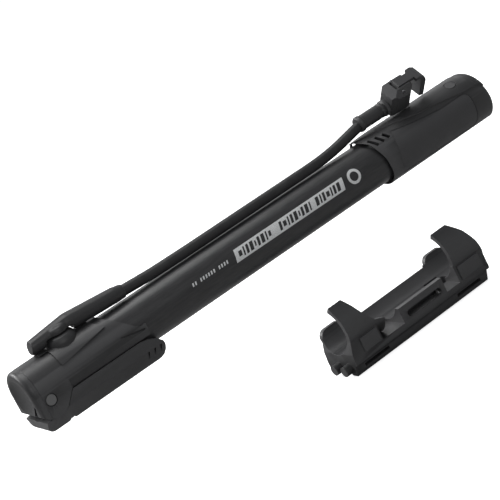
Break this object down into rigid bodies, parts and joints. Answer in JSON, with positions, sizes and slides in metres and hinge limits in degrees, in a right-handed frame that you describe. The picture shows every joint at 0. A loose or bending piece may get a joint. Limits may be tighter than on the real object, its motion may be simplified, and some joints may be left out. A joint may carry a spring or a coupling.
{
  "type": "mini pump",
  "caption": "Bicycle mini pump with fold-out foot flap, swivelling hose with thumb-lock head, sliding handle and a clip-on frame bracket beside it.",
  "frame": {"origin": "on the barrel axis, at the seam between the base shell and its end cap", "axes": "+X along the barrel from the base to the handle, +Z towards the stowed hose, bracket below on -Z"},
  "size_m": [0.3008, 0.0304, 0.1189],
  "materials": {
    "composite": "satin black composite tube",
    "moulded_black": "fine-textured black moulding",
    "head_plastic": "black moulded plastic",
    "grip_plastic": "black textured inlay",
    "bracket_plastic": "black moulded nylon",
    "hose_rubber": "black rubber",
    "seal_rubber": "black rubber",
    "pin_grey": "grey moulded pin",
    "steel": "plain steel",
    "rod_alloy": "bright aluminium",
    "decal": "silver printed bands"
  },
  "bodies": {
    "barrel": {"barrel_tube": "composite", "base_shell": "moulded_black", "end_cap": "moulded_black", "flap_pin": "pin_grey", "valve_seat": "moulded_black", "seat_seal": "seal_rubber", "check_ball": "steel", "check_spring": "steel", "gland": "moulded_black", "rod_seal": "seal_rubber"},
    "flap": {"foot_flap": "moulded_black"},
    "hose_arm": {"swivel_arm": "moulded_black", "swivel_stem": "steel", "stem_seal": "seal_rubber", "hose": "hose_rubber", "hose_ferrule": "moulded_black", "head_body": "head_plastic", "valve_grommet": "seal_rubber", "chuck_cap": "head_plastic", "lever_pin": "steel", "plunger": "moulded_black"},
    "lever": {"thumb_lever": "head_plastic"},
    "handle": {"handle_shell": "moulded_black", "grip_panels": "grip_plastic", "handle_plug": "moulded_black", "handle_cap": "moulded_black", "rod_screw": "steel", "piston_rod": "rod_alloy", "piston_head": "moulded_black", "piston_seal": "seal_rubber"},
    "bracket": {"frame_bracket": "bracket_plastic"}
  },
  "joints": [
    {"name": "pump_stroke", "type": "slide", "parent": "barrel", "child": "handle", "axis": [1, 0, 0], "range_m": [0, 0.215]},
    {"name": "flap_hinge", "type": "hinge", "parent": "barrel", "child": "flap", "pos_m": [0.0036, 0, -0.0038], "axis": [0, 1, 0], "range_deg": [0, 90]},
    {"name": "hose_swivel", "type": "hinge", "parent": "barrel", "child": "hose_arm", "pos_m": [0.0255, 0, 0.0176], "axis": [0, 0, 1], "range_deg": [-150, 150]},
    {"name": "lever_hinge", "type": "hinge", "parent": "hose_arm", "child": "lever", "pos_m": [0.247, -0.00696, 0.02863], "axis": [0, -0.7431, -0.6691], "range_deg": [0, 100]},
    {"name": "bracket_clip_on", "type": "slide", "parent": "barrel", "child": "bracket", "axis": [0, 0, 1], "range_m": [0, 0.034]}
  ]
}
